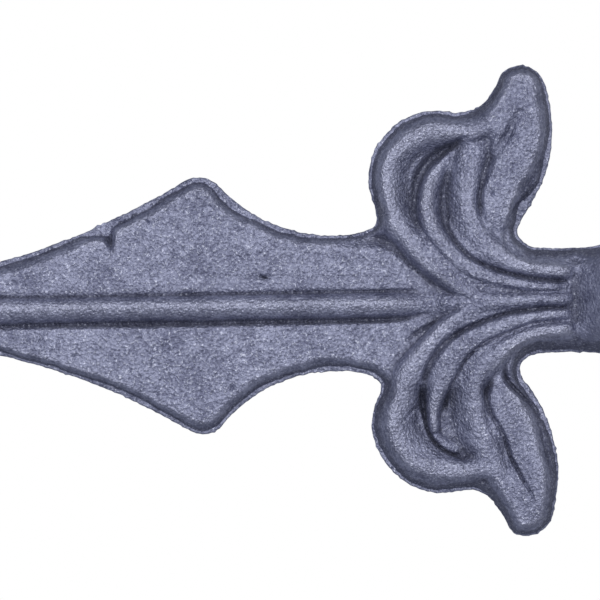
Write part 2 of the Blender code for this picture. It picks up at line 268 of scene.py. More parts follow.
# %% Ridges of the upper leaf
# Each row: u, v, crest, flank towards the blade, flank towards the collar.
UPPER_RIDGES = {
    "outer rim": [
        (14.3, 0.5, 3.95, 0.9, 0.9), (15.9, 1.15, 4.0, 1.2, 1.1), (17.7, 2.4, 3.95, 1.6, 1.2),
        (19.5, 4.0, 3.85, 1.8, 1.3), (21.2, 5.65, 3.8, 1.9, 1.5), (22.6, 7.7, 3.7, 2.0, 1.8),
        (24.0, 9.2, 3.65, 1.8, 2.3), (24.6, 11.0, 3.6, 1.55, 2.5), (25.0, 12.8, 3.6, 1.5, 2.6),
        (25.1, 14.6, 3.55, 1.45, 2.7), (24.8, 16.4, 3.55, 1.5, 2.7), (23.8, 17.8, 3.6, 1.6, 2.5),
        (22.3, 18.95, 3.65, 1.8, 2.2), (20.5, 19.75, 3.65, 2.0, 2.1), (18.5, 20.0, 3.6, 1.9, 2.0),
        (16.6, 19.85, 3.55, 1.9, 1.6), (14.8, 19.85, 3.5, 1.8, 1.7), (12.8, 21.0, 3.5, 1.6, 2.2),
        (11.6, 22.5, 3.5, 1.5, 2.4), (10.7, 24.2, 3.35, 1.5, 2.2), (10.1, 25.6, 3.15, 1.4, 1.8),
        (9.5, 26.5, 2.9, 1.2, 1.4)],
    "outer rib": [
        (3.3, 3.5, 4.0, 0.8, 0.85), (4.6, 3.4, 4.42, 0.9, 1.05), (7.0, 3.6, 4.45, 0.95, 1.15),
        (9.0, 4.0, 4.4, 1.05, 1.25), (11.0, 4.7, 4.33, 1.25, 1.35), (12.6, 5.9, 4.2, 1.55, 1.45),
        (13.8, 7.3, 3.95, 1.8, 1.5), (14.7, 8.8, 3.85, 2.2, 1.5), (15.3, 10.4, 3.8, 2.5, 1.45),
        (15.5, 12.2, 3.7, 2.6, 1.6), (15.3, 14.0, 3.6, 2.7, 1.8), (15.1, 15.6, 3.4, 2.6, 1.9),
        (14.6, 17.2, 3.2, 2.6, 1.9), (14.1, 18.7, 2.95, 1.8, 1.9), (13.6, 20.0, 2.8, 1.1, 1.3)],
    "inner rib": [
        (4.6, 1.65, 4.0, 0.6, 0.65), (5.8, 1.6, 4.35, 0.75, 0.8), (8.0, 1.7, 4.42, 0.8, 0.9),
        (10.5, 2.15, 4.38, 0.9, 1.0), (13.0, 2.75, 4.28, 1.0, 1.1), (15.0, 3.6, 4.2, 1.2, 1.2),
        (17.3, 5.15, 4.1, 1.3, 1.3), (18.9, 7.2, 4.0, 1.35, 1.4), (20.0, 9.0, 3.9, 1.35, 1.6),
        (20.4, 11.0, 3.7, 1.3, 1.8), (20.4, 12.8, 3.5, 1.0, 1.8), (19.9, 14.3, 3.15, 0.9, 1.7),
        (19.2, 15.6, 2.8, 0.9, 1.6), (18.1, 16.5, 2.5, 0.9, 1.6), (16.9, 17.3, 2.25, 0.8, 1.2)],
    "tip edge": [
        (7.7, 22.0, 3.1, 0.9, 0.8), (7.7, 24.4, 3.1, 0.9, 0.8), (8.4, 26.2, 3.0, 0.9, 0.8),
        (9.4, 26.6, 2.9, 0.9, 0.9)],
    "centre rib": [
        (3.9, 0.25, 4.1, 0.7, 0.7), (5.0, 0.25, 4.45, 0.85, 0.85), (8.0, 0.22, 4.48, 0.9, 0.9),
        (11.0, 0.12, 4.4, 1.0, 1.0), (13.2, 0.0, 4.25, 1.2, 1.2), (15.2, 0.0, 4.0, 1.25, 1.25),
        (16.5, 0.0, 3.75, 1.15, 1.15)],
}
print("upper leaf:", len(UPPER_RIDGES), "ridges")

# %% [markdown]
# The leaf below in the photograph was pressed from a different half of the die, so it gets its own
# drawing. Its ribs are broader, and one of them was folded and cracked. The centre rib is shared, so
# its rows are those of the upper leaf with v turned round.

# %% Ridges of the lower leaf
LOWER_RIDGES = {
    "outer rim": [
        (14.4, 0.3, 3.95, 0.9, 0.9), (16.0, 1.15, 4.0, 1.1, 1.1), (17.6, 2.15, 4.0, 1.2, 1.2),
        (19.0, 3.2, 3.95, 1.2, 1.3), (20.3, 4.6, 3.85, 1.2, 1.4), (21.6, 6.2, 3.75, 1.5, 1.7),
        (22.7, 8.0, 3.65, 2.0, 2.0), (23.4, 9.7, 3.6, 2.0, 2.4), (24.0, 11.3, 3.6, 1.9, 2.7),
        (24.4, 13.0, 3.6, 1.7, 2.8), (24.4, 14.8, 3.6, 1.7, 2.8), (23.9, 16.5, 3.55, 1.8, 3.1),
        (22.8, 18.0, 3.55, 2.0, 3.3), (21.2, 19.0, 3.55, 2.0, 3.1), (19.4, 19.55, 3.6, 1.9, 2.6),
        (17.6, 19.7, 3.6, 1.8, 2.0), (15.9, 19.6, 3.55, 1.7, 1.6), (14.4, 19.4, 3.5, 1.5, 1.5)],
    "outer rib": [
        (2.9, 3.2, 4.05, 0.8, 0.8), (4.2, 3.25, 4.4, 0.8, 0.95), (6.8, 3.45, 4.45, 0.9, 1.1),
        (8.4, 3.85, 4.42, 1.0, 1.2), (10.0, 4.6, 4.38, 1.1, 1.35), (11.6, 5.55, 4.3, 1.3, 1.5),
        (13.1, 6.8, 4.15, 1.7, 1.6), (14.3, 8.2, 4.0, 2.6, 1.6), (15.0, 9.8, 3.9, 2.7, 1.5),
        (15.0, 11.4, 3.8, 2.9, 1.5), (14.8, 13.0, 3.75, 3.0, 1.7), (14.4, 14.7, 3.7, 3.1, 2.0),
        (13.8, 16.4, 3.7, 2.9, 2.3), (13.2, 18.1, 3.65, 2.3, 2.4), (12.6, 19.8, 3.6, 1.8, 2.5),
        (11.7, 21.4, 3.5, 1.7, 2.5), (10.9, 23.0, 3.35, 1.5, 2.3), (10.2, 24.7, 3.15, 1.4, 2.0),
        (9.6, 26.0, 2.9, 1.2, 1.3)],
    "inner rib": [
        (4.3, 1.5, 4.1, 0.7, 0.7), (5.4, 1.5, 4.42, 0.85, 0.9), (8.0, 1.75, 4.45, 0.95, 1.0),
        (10.0, 2.25, 4.4, 1.1, 1.1), (12.0, 2.9, 4.33, 1.25, 1.2), (14.0, 3.75, 4.25, 1.45, 1.35),
        (15.8, 4.9, 4.15, 1.7, 1.5), (17.3, 6.3, 4.0, 2.0, 1.75), (18.3, 7.8, 3.85, 2.1, 1.9),
        (18.9, 9.4, 3.65, 1.9, 1.7), (19.5, 11.0, 3.4, 1.4, 1.3), (19.9, 12.6, 3.2, 0.95, 0.95),
        (19.9, 14.2, 3.2, 0.75, 0.85), (19.8, 15.1, 3.0, 0.5, 0.6)],
    "folded end": [
        (19.6, 15.5, 2.5, 0.5, 0.6), (19.2, 16.1, 2.65, 0.6, 0.8), (18.5, 16.7, 2.6, 0.7, 0.9),
        (17.6, 17.2, 2.35, 0.7, 0.9)],
    "tip edge": [
        (7.3, 23.0, 3.0, 0.9, 0.8), (7.5, 24.8, 3.0, 0.9, 0.8), (8.3, 25.9, 2.9, 0.9, 0.8)],
    "centre rib": [
        (u, -v, crest, left, right) for u, v, crest, left, right in UPPER_RIDGES["centre rib"]],
}
print("lower leaf:", len(LOWER_RIDGES), "ridges")

# %% [markdown]
# Beside the ribs each leaf has one broad lobe that runs out to its tip. It is a ridge as well, but
# its top is nearly flat and its two flanks are alike, so one half width is enough.

# %% The broad lobes
# Each row: u, v, crest, half width.
UPPER_LOBE = [
    (12.1, 8.2, 3.2, 1.2), (12.1, 9.2, 3.5, 1.7), (12.1, 10.3, 3.6, 2.1), (11.9, 12.0, 3.65, 2.5),
    (11.3, 14.0, 3.6, 2.65), (10.3, 16.0, 3.6, 2.9), (9.8, 18.0, 3.6, 3.5), (9.5, 20.0, 3.6, 3.6),
    (9.4, 22.0, 3.5, 3.2), (9.6, 24.0, 3.3, 3.1), (9.7, 25.6, 3.1, 2.9)]
LOWER_LOBE = [
    (12.0, 9.4, 3.0, 1.2), (11.8, 10.4, 3.4, 2.1), (11.4, 11.8, 3.5, 2.6), (10.7, 13.8, 3.55, 2.8),
    (9.7, 16.0, 3.6, 2.4), (9.2, 18.0, 3.6, 2.4), (8.8, 20.0, 3.6, 2.5), (9.0, 22.0, 3.5, 2.8),
    (9.3, 24.0, 3.3, 3.0), (9.4, 25.4, 3.1, 2.8)]
print("lobes up to", 2 * max(row[3] for row in UPPER_LOBE), "mm wide")

# %% [markdown]
# Ridges alone meet too softly. The die also had sharp lines beside the ribs, and the steel folded
# over in places. Those are cuts: paths like the ridges, but sunk into the face, each with a depth
# and a half width that change along it. The last ones are the creases along the midrib's two sides.

# %% Grooves, folds and creases
# Each row: u, v, depth, half width.
UPPER_CUTS = [
    [(14.0, 10.8, 0.15, 0.4), (14.15, 12.0, 0.35, 0.42), (13.9, 13.3, 0.35, 0.45), (13.4, 14.6, 0.3, 0.5),
     (12.9, 15.8, 0.25, 0.55), (12.3, 17.0, 0.35, 0.65), (11.5, 18.3, 0.45, 0.8), (10.7, 19.6, 0.5, 0.85),
     (10.0, 20.9, 0.45, 0.75), (9.3, 22.2, 0.2, 0.5)],
    [(4.6, 1.2, 0.05, 0.25), (6.0, 1.15, 0.12, 0.28), (8.0, 1.15, 0.15, 0.28), (10.0, 1.4, 0.18, 0.3),
     (12.0, 1.75, 0.18, 0.3), (14.0, 2.3, 0.18, 0.3), (16.0, 3.2, 0.2, 0.33), (17.9, 4.7, 0.2, 0.33),
     (19.7, 6.7, 0.3, 0.36), (21.0, 8.6, 0.2, 0.35), (21.6, 10.7, 0.2, 0.45), (21.6, 12.8, 0.5, 0.7),
     (21.2, 14.6, 0.9, 0.95), (20.2, 16.2, 1.1, 1.0), (18.8, 17.4, 1.2, 0.9), (17.3, 18.4, 1.0, 0.6),
     (16.2, 19.0, 0.6, 0.42), (15.3, 19.3, 0.1, 0.25)],
    [(16.9, 17.6, 0.05, 0.6), (17.5, 16.2, 0.2, 0.9), (17.9, 14.4, 0.3, 1.0), (18.1, 12.4, 0.3, 0.95),
     (18.2, 10.5, 0.4, 0.7), (18.1, 8.9, 0.55, 0.5), (17.5, 7.7, 0.6, 0.47), (16.7, 6.55, 0.6, 0.45),
     (15.6, 5.45, 0.6, 0.43), (14.2, 4.55, 0.55, 0.4), (12.3, 3.75, 0.5, 0.38), (10.0, 3.05, 0.45, 0.36),
     (8.0, 2.65, 0.4, 0.34), (6.0, 2.4, 0.4, 0.32), (4.6, 2.35, 0.3, 0.3), (3.7, 2.2, 0.1, 0.25)],
    [(16.4, 0.7, 0.05, 0.3), (17.3, 1.05, 0.12, 0.4), (18.4, 1.7, 0.3, 0.5), (20.3, 2.95, 0.4, 0.55),
     (22.2, 4.6, 0.4, 0.6), (24.2, 6.5, 0.5, 0.9), (25.8, 7.3, 0.6, 1.4), (27.4, 7.4, 0.45, 1.3),
     (29.4, 7.2, 0.2, 0.9), (31.0, 7.0, 0.05, 0.6)],
    [(21.3, 1.1, 0.1, 0.3), (24.0, 1.4, 0.3, 0.36), (45.0, 1.35, 0.3, 0.36), (70.0, 1.35, 0.25, 0.36),
     (82.0, 2.6, 0.1, 0.4)],
    [(27.0, 3.0, 0.05, 0.4), (32.0, 3.1, 0.08, 0.45), (42.0, 3.2, 0.08, 0.45), (48.0, 3.5, 0.03, 0.4)],
]
LOWER_CUTS = [
    [(13.9, 9.8, 0.1, 0.3), (13.8, 11.0, 0.32, 0.36), (13.5, 12.2, 0.36, 0.36), (13.1, 13.2, 0.4, 0.38),
     (12.5, 14.3, 0.5, 0.4), (11.8, 15.6, 0.55, 0.36), (11.35, 17.0, 0.6, 0.34), (10.9, 18.3, 0.65, 0.32),
     (10.2, 19.6, 0.6, 0.32), (9.6, 20.8, 0.5, 0.3), (8.9, 22.0, 0.3, 0.28), (8.4, 22.9, 0.1, 0.25)],
    [(21.2, 9.9, 0.2, 0.4), (21.2, 10.8, 0.9, 0.5), (21.05, 12.0, 1.1, 0.55), (20.85, 13.4, 1.0, 0.4),
     (20.6, 14.7, 0.8, 0.33), (20.15, 15.8, 0.7, 0.3), (19.3, 16.75, 0.7, 0.3), (18.3, 17.5, 0.7, 0.3),
     (17.3, 18.0, 0.6, 0.3), (16.3, 18.5, 0.3, 0.3)],
    [(20.9, 8.8, 0.4, 0.55), (20.4, 7.5, 0.6, 0.6), (19.75, 6.3, 0.75, 0.65), (18.7, 5.0, 0.75, 0.6),
     (17.4, 3.9, 0.7, 0.5), (16.0, 3.1, 0.7, 0.45), (14.5, 2.5, 0.6, 0.43), (12.5, 1.75, 0.6, 0.42),
     (10.5, 1.25, 0.6, 0.4), (8.0, 1.0, 0.55, 0.38), (6.0, 0.85, 0.5, 0.35), (4.2, 0.85, 0.3, 0.33),
     (3.4, 0.9, 0.1, 0.3)],
    [(18.5, 12.5, 0.2, 0.4), (18.5, 11.8, 0.6, 0.38), (18.1, 10.6, 0.5, 0.28), (17.6, 9.4, 0.4, 0.26),
     (16.9, 8.1, 0.4, 0.26), (16.0, 6.6, 0.45, 0.28), (15.2, 5.8, 0.45, 0.28), (14.2, 5.0, 0.45, 0.28),
     (13.0, 4.3, 0.4, 0.27), (11.5, 3.7, 0.4, 0.27), (10.0, 3.1, 0.35, 0.27), (8.0, 2.5, 0.25, 0.25),
     (6.0, 2.3, 0.25, 0.25), (4.8, 2.25, 0.1, 0.25)],
    [(20.3, 15.3, 0.3, 0.22), (19.8, 15.35, 0.5, 0.25), (19.3, 15.1, 0.4, 0.22), (19.0, 14.8, 0.1, 0.2)],
    [(23.2, 13.6, 0.15, 0.22), (22.4, 12.7, 0.3, 0.28), (21.8, 12.2, 0.3, 0.28)],
    [(22.9, 4.35, 0.1, 0.3), (22.0, 3.7, 0.3, 0.35), (21.0, 3.05, 0.3, 0.35), (20.0, 2.5, 0.25, 0.35),
     (19.0, 2.0, 0.1, 0.3)],
    [(20.6, 1.3, 0.1, 0.3), (22.5, 1.6, 0.45, 0.45), (26.0, 1.85, 0.75, 0.6), (48.0, 1.95, 0.8, 0.65),
     (70.0, 2.0, 0.6, 0.6), (82.0, 3.0, 0.1, 0.4)],
]
print("cuts:", len(UPPER_CUTS), "on the upper side and", len(LOWER_CUTS), "on the lower")

# %% [markdown]
# The flaws make it this baluster and no other, so they are kept: a lap at the blade's upper edge,
# grooves inside the rim where the flash was trimmed, a crack at the lower leaf's hook, and pits where
# scale was pressed in. They are cut in last of all, through the side walls too.

# %% Laps, cracks and pits
UPPER_FLAWS = [
    [(60.4, 8.2, 0.2, 0.5), (59.2, 8.6, 1.2, 0.8), (57.9, 8.7, 2.0, 1.1), (57.6, 8.0, 1.7, 0.9),
     (57.4, 7.4, 1.2, 0.55), (57.3, 6.8, 0.4, 0.3)],
    [(57.2, 9.3, 0.8, 0.6), (56.4, 9.7, 0.5, 0.5), (55.2, 10.3, 0.5, 0.45), (54.0, 10.9, 0.4, 0.4),
     (52.8, 11.5, 0.45, 0.4), (51.5, 12.2, 0.2, 0.35)],
    [(7.8, 13.9, 0.15, 0.3), (8.5, 12.6, 0.4, 0.33), (9.5, 11.4, 0.5, 0.36), (10.45, 10.2, 0.5, 0.4),
     (10.95, 8.9, 0.45, 0.5), (11.2, 7.7, 0.5, 0.65), (10.7, 6.5, 0.5, 0.7), (9.6, 5.6, 0.5, 0.7),
     (7.8, 5.0, 0.6, 0.75), (5.5, 4.85, 0.7, 0.8), (3.0, 4.85, 0.7, 0.85), (1.0, 4.95, 0.5, 0.85),
     (-1.0, 5.1, 0.2, 0.7)],
    [(24.9, 6.6, 0.2, 0.6), (25.9, 7.6, 0.6, 0.9), (27.2, 7.5, 0.6, 0.8), (29.0, 7.1, 0.35, 0.6),
     (31.0, 6.9, 0.1, 0.5)],
    [(39.7, 3.3, 0.4, 0.28), (39.3, 3.2, 0.5, 0.31)],
    [(53.0, 10.0, 0.25, 0.22), (52.8, 9.8, 0.3, 0.25)],
    [(12.8, 12.9, 0.3, 0.25), (12.6, 12.5, 0.35, 0.3)],
    [(36.4, 0.62, 0.15, 0.18), (35.6, 0.6, 0.15, 0.2)],
    [(35.55, 4.1, 0.12, 0.2), (35.4, 3.7, 0.12, 0.2)],
]
LOWER_FLAWS = [
    [(-1.0, 5.1, 0.2, 0.7), (1.0, 4.85, 0.5, 0.85), (3.0, 4.7, 0.7, 0.85), (5.5, 4.75, 0.7, 0.8),
     (7.8, 5.0, 0.6, 0.75), (9.5, 5.5, 0.5, 0.65), (10.6, 6.3, 0.5, 0.6), (11.25, 7.3, 0.6, 0.6),
     (11.45, 8.3, 0.7, 0.55), (11.2, 9.2, 1.2, 0.5), (10.5, 10.1, 1.4, 0.47), (9.5, 11.1, 1.2, 0.42),
     (8.6, 12.0, 0.8, 0.36), (7.8, 13.0, 0.5, 0.32), (7.1, 14.2, 0.2, 0.28)],
    [(61.8, 5.85, 0.2, 0.35), (61.4, 5.75, 0.2, 0.35)],
    [(52.5, 10.2, 0.2, 0.35), (52.1, 10.1, 0.2, 0.35)],
    [(43.4, 9.7, 0.3, 0.3), (43.2, 9.3, 0.2, 0.25)],
    [(65.9, 3.9, 0.15, 0.2), (65.6, 3.5, 0.15, 0.25)],
    [(26.9, 5.9, 0.15, 0.25), (26.5, 5.85, 0.15, 0.25)],
]
print("flaws:", len(UPPER_FLAWS), "on the upper side and", len(LOWER_FLAWS), "on the lower")

# %% [markdown]
# ## How thick the steel is everywhere
#
# With the ridges drawn, half the thickness of the steel over every point of the drawing follows from
# a few rules. The neck's ground falls away to the leaves' thin hollows, the ridges stand on it, the
# blade is a flat plate with a round midrib, and both ends swell to the square bar. Last, the side
# walls lean inwards by the die's draft, so that the forging could be lifted out, and the lower of
# wall and face wins.

# %% Raise a ridge, sink a cut
PATH_STEP, CUT_STEP = 0.35, 0.3
RIDGE_BLEND = 0.2
STEEP = 3.0
FLANKS, POWERS = (1.5, 3.5), (STEEP, 1.7)
FOOT_POWER = 1.25


def dome(t, power):
    """A round profile that is 1 at t = 0 and meets the ground steeply at t = 1."""
    return (1 - np.clip(t, 0, 1) ** power) ** FOOT_POWER


def close_by(points, path, reach):
    """Which points lie in the path's box, widened by the reach."""
    return ((points > path[:, :2].min(0) - reach) & (points < path[:, :2].max(0) + reach)).all(1)


def raised(face, points, rows, flat=0.0):
    """The face with one ridge laid over it, its top flat up to that share of its half width."""
    path = flow(rows, PATH_STEP)
    near = close_by(points, path, path[:, 3:].max() + 0.3)
    gap, side, at = nearest_on(points[near], path)
    flank = np.where(side < 0, at[:, 3], at[:, -1])
    ground = face[near]
    # A narrow flank stays high and drops steeply, and a broad one falls away more evenly.
    power = np.interp(flank, FLANKS, POWERS) if flat == 0 else STEEP
    lifted = ground + np.maximum(0, at[:, 2] - ground) * dome((gap / flank - flat) / (1 - flat), power)
    face[near] = np.where(gap < flank, blend_max(ground, lifted, RIDGE_BLEND), ground)
    return face


def cut(face, points, rows):
    """The face with one cut sunk into it."""
    path = flow(rows, CUT_STEP)
    near = close_by(points, path, path[:, 3].max())
    gap, _, at = nearest_on(points[near], path)
    t = np.clip(gap / np.maximum(at[:, 3], 0.05), 0, 1)
    face[near] -= np.maximum(0, at[:, 2]) * (1 - t * t) ** 2
    return face


plain_ridge = [(0, 0, 1, 1, 1), (9, 0, 1, 1, 1)]
probes = np.array([(5.0, 0.0), (5.0, 0.5), (5.0, 2.0)])
print("a ridge 1 mm high, at its crest, halfway down and beside it:",
      raised(np.zeros(3), probes, plain_ridge).round(2))

# %% [markdown]
# The neck is a thick block, and each leaf a thin shell that starts from it. So the ground under the
# ridges falls away from the neck towards the leaf's hollows. Everything is worked out for positive
# `v` alone; the lower leaf is the same calculation with its own drawing, and is turned over later.

# %% One leaf with its half of the neck
NECK_HALF = 3.75
HOLLOW_HALF = 2.0
NECK_SIDE, LEAF_SIDE = 5, 12
LOBE_FLAT = 0.5
BESIDE_BLADE = 8


def rim_line(points, ridges):
    """How far up the leaf's outer rim lies beside each point, from the rim's part by the blade."""
    rim = flow(ridges["outer rim"][:BESIDE_BLADE], PATH_STEP)
    return np.interp(points[:, 1], rim[:, 1], rim[:, 0])


def leaf_face(points, ridges, lobe):
    """The ribbed face of one leaf and its half of the neck, over points with positive v."""
    past_rim = points[:, 0] > rim_line(points, ridges)
    towards_hollow = NECK_HALF - (NECK_HALF - HOLLOW_HALF) * ramp(points[:, 1], NECK_SIDE, LEAF_SIDE)
    face = np.where(past_rim, HOLLOW_HALF, towards_hollow)
    face = raised(face, points, lobe, flat=LOBE_FLAT)
    for rows in ridges.values():
        face = raised(face, points, rows)
    return face


probes = np.array([(8.0, 0.2), (9.8, 20.0), (22.0, 14.0)])
print("half thickness in mm on the centre rib, the lobe and the hollow:",
      leaf_face(probes, UPPER_RIDGES, UPPER_LOBE).round(2))

# %% [markdown]
# The blade's flat plate begins on the far side of the outer rim, so the rim's own path is where one
# face hands over to the other. The midrib is a round bead that widens near the top until it is the
# bar itself, and sinks into the steel where the leaves part.

# %% Blade and midrib
BLADE_HALF = 2.3
PLATE_RISE = 1.5
FORK_AT, FORK_HEIGHT, FORK_LENGTH, FORK_WIDTH = 17.4, 1.2, 2.2, 1.6
MIDRIB_CREST = 3.45
MIDRIB_FOOT = {"upper": 1.45, "lower": 2.15}
MIDRIB_ROUND = 2.0
MIDRIB_SWELLS = (68, 95)
MIDRIB_SINKS = (25.5, 19.0)
SINK_DEPTH, SINK_NARROWS = 0.75, 0.4
BEAD_STARTS, NOSE_AT, NOSE_LENGTH = 18.0, 20.2, 1.8
BEAD_ROOT = 0.1
BEAD_BLEND = 0.12


def blade_face(points, face, ridges, side):
    """The leaf's face with the blade's plate and midrib added beyond the outer rim."""
    u, v = points[:, 0], points[:, 1]
    rim_u = rim_line(points, ridges)
    plate = HOLLOW_HALF + (BLADE_HALF - HOLLOW_HALF) * ramp(u, rim_u, rim_u + PLATE_RISE)
    plate += FORK_HEIGHT * np.exp(-((u - FORK_AT) / FORK_LENGTH) ** 2 - (v / FORK_WIDTH) ** 2)
    face = np.where(u > rim_u, np.maximum(face, plate), face)
    swell = ramp(u, *MIDRIB_SWELLS)
    sinks = ramp(-u, -MIDRIB_SINKS[0], -MIDRIB_SINKS[1])
    crest = MIDRIB_CREST + (BAR_HALF - MIDRIB_CREST) * swell - SINK_DEPTH * sinks
    past = np.maximum(0, v - BAR_HALF * swell) / (MIDRIB_FOOT[side] * (1 - SINK_NARROWS * sinks))
    nose = np.maximum(0, NOSE_AT - u) / NOSE_LENGTH
    root = plate - BEAD_ROOT
    bead = root + (crest - root) * dome(np.hypot(past, nose), MIDRIB_ROUND)
    return np.where((u > BEAD_STARTS) & (past < 1), blend_max(face, bead, BEAD_BLEND), face)


probes = np.array([(45.0, 0.0), (45.0, 6.0), (88.0, 0.0)])
print("half thickness in mm on the midrib, the plate and near the bar:",
      blade_face(probes, np.zeros(3), UPPER_RIDGES, "upper").round(2))

# %% [markdown]
# The collar is a barrel that stands over the bar below, and its front follows the outline's own
# bulge. Between it and the ribs there is a shallow valley. Both bars are simply as thick as they are
# wide.

# %% Collar and bars
COLLAR_HALF_LENGTH = 5.5
COLLAR_RADIUS = 7.85
COLLAR_FALL, COLLAR_SLOPE = 1.42, 0.35
COLLAR_ROUND = 2.4
COLLAR_BLEND = 0.8
VALLEY_AT, VALLEY_LENGTH, VALLEY_DEPTH = 3.0, 0.7, 0.5
NECK_THICKENS = (-1.8, COLLAR_HALF_LENGTH)
BAR_BELOW, BAR_ABOVE = (10.5, 14), (88, 97)


def with_collar(points, face, outline):
    """The face with the valley behind the ribs, the collar's barrel and the two bars."""
    u, v = points[:, 0], points[:, 1]
    bulge = COLLAR_RADIUS - COLLAR_FALL * ((u + COLLAR_HALF_LENGTH) / COLLAR_HALF_LENGTH) ** 2
    bulge -= COLLAR_SLOPE * np.maximum(0, u)
    turns_back = np.flatnonzero(np.diff(outline[:, 0]) <= 0)[0]
    half_width = np.interp(u, outline[:turns_back + 1, 0], outline[:turns_back + 1, 1])
    across = np.minimum(1, v / half_width)
    barrel = np.maximum(0, bulge) * (1 - across**COLLAR_ROUND) ** (1 / COLLAR_ROUND)
    face = face - VALLEY_DEPTH * np.exp(-((u - VALLEY_AT) / VALLEY_LENGTH) ** 2)
    face = face + (BAR_HALF - face) * ramp(-u, *NECK_THICKENS)
    face = blend_max(face, barrel, COLLAR_BLEND)
    on_bar = np.maximum(ramp(-u, *BAR_BELOW), ramp(u, *BAR_ABOVE))
    return face + (BAR_HALF - face) * on_bar


probes = np.array([(-5.5, 0.0), (-16.0, 0.0)])
print("half thickness in mm on the collar and the bar:",
      with_collar(probes, np.full(2, NECK_HALF), upper).round(2))

# %% [markdown]
# Last come the side walls. They start from the thin trimmed edge, run level as far as the rim is
# wide, and climb with the draft of the die, which differs a little from place to place. Towards the
# bars the edge grows to the bar's own square side.

# %% Side walls, and the whole thickness
EDGE_HALF = 0.5
BAR_CORNER = 0.8
BEVEL_WIDTH, BEVEL_DROP = 0.125, 0.12
LEAF_DRAFT = {"upper": 3.1, "lower": 2.6}
BLADE_DRAFT = {"upper": (2.6, 1.8), "lower": (2.0, 2.9)}
BLADE_STARTS = (27, 33)
SHOULDER = (47.0, 52.0)
WALL_BLEND, LEAF_BLEND = 0.65, 0.25
SQUARE_BELOW, SQUARE_ABOVE = (-1, 14), (78, 97)
LEAF_FROM, LEAF_TO = (3, 7), (-30, -26)
ON_OUTLINE = 1e-4


def wall_height(u, rise, edge, side):
    """How high the side wall is at this distance inside the rim."""
    before, beyond = BLADE_DRAFT[side]
    draft = LEAF_DRAFT[side] + (before - LEAF_DRAFT[side]) * ramp(u, *BLADE_STARTS)
    draft += (beyond - before) * ramp(u, *SHOULDER)
    return edge + draft * np.maximum(0, rise)


def half_thickness(points, outline, ridges, lobe, cuts, flaws, side):
    """Half the steel's thickness over points of one side, and half the outline edge's thickness."""
    u = points[:, 0]
    face = leaf_face(points, ridges, lobe)
    face = blade_face(points, face, ridges, side)
    for rows in cuts:
        face = cut(face, points, rows)
    face = with_collar(points, face, outline)

    square = np.maximum(ramp(-u, *SQUARE_BELOW), ramp(u, *SQUARE_ABOVE))
    edge = EDGE_HALF + (BAR_HALF - BAR_CORNER - EDGE_HALF) * square
    inward, _, at = nearest_on(points, outline)
    wall = wall_height(u, inward - at[:, 2], edge, side)
    on_leaf = ramp(u, *LEAF_FROM) * ramp(-u, *LEAF_TO)
    height = blend_min(wall, face, WALL_BLEND + LEAF_BLEND * on_leaf)
    for rows in flaws:
        height = np.maximum(cut(height, points, rows), EDGE_HALF)
    return np.where(inward < ON_OUTLINE, edge - BEVEL_DROP * (1 - square), height), edge


upper_drawing = {"ridges": UPPER_RIDGES, "lobe": UPPER_LOBE, "cuts": UPPER_CUTS, "flaws": UPPER_FLAWS,
                 "side": "upper"}
lower_drawing = {"ridges": LOWER_RIDGES, "lobe": LOWER_LOBE, "cuts": LOWER_CUTS, "flaws": LOWER_FLAWS,
                 "side": "lower"}
probes = np.array([(8.0, 0.2), (45.0, 6.0), (9.8, 20.0)])
print("half thickness in mm on the neck, the blade and the lobe:",
      half_thickness(probes, upper, **upper_drawing)[0].round(2))

# %% [markdown]
# ## Meshing the drawing
#
# A grid of squares would cut the outline into steps. A Delaunay triangulation can take any points
# and keep the outline as hard edges, so the points are put where they are needed: along the outline,
# in a few rings that follow it where the wall climbs, and in an even scatter in between, dense on
# the leaves and sparser on the blade. The face towards the camera gets a fine mesh, and the back,
# which the same die shape made, a coarser and plainer one.

# %% Rings along the outline, and an even scatter
CLEARANCE = 0.3
TOO_CLOSE = 0.12
LEAF_REACH = 28.0
ROW_SPACING = 0.866


def normals(path):
    """The unit normals of a path, pointing inwards on an outline."""
    tangent = np.gradient(path[:, :2], axis=0)
    normal = np.column_stack([tangent[:, 1], -tangent[:, 0]])
    return normal / np.linalg.norm(normal, axis=1)[:, None]


def rings(outline, offsets):
    """The outline moved inwards by each offset, leaving out where it would cross itself."""
    normal = normals(outline)
    kept = []
    bevel = np.where(outline[:, 2] > 2 * BEVEL_WIDTH, BEVEL_WIDTH, 0)
    for inset in [bevel] + [outline[:, 2] + by for by in offsets]:
        moved = outline[:, :2] + inset[:, None] * normal
        gap = nearest_on(moved, outline)[0]
        clear = (gap > 0.95 * inset) & (gap > TOO_CLOSE) & (moved[:, 1] > CLEARANCE)
        clear &= moved[:, 0] > BAR_ENDS_BELOW + CLEARANCE
        clear &= moved[:, 0] < BAR_STARTS_ABOVE - CLEARANCE
        kept.append(moved[clear])
    return np.vstack(kept)


def scatter(low, high, step):
    """An even triangular scatter of points, every second row shifted by half a step."""
    u, v = np.meshgrid(np.arange(low, high, step * ROW_SPACING), np.arange(0, LEAF_REACH, step))
    v = v + (np.arange(u.shape[1]) % 2) * step / 2
    return np.column_stack([u.ravel(), v.ravel()])


print("two rings have", len(rings(upper, (0.0,))), "points, and a scatter over 10 mm of the bar's length",
      len(scatter(0, 10, 1.0)))

# %% [markdown]
# The flaws are narrower than the scatter's spacing, so each gets a band of close points of its own,
# and the scatter makes room for it. Whether a point lies inside the drawing is found by counting
# how many sides of the outline a line from it would cross.

# %% All the points of one side
FLAW_STEP = 0.13
BAND = (-1.1, -0.7, -0.35, 0, 0.35, 0.7, 1.1)
BAND_CLEARANCE = 0.25
LEAF_SPAN = (-11, 31)


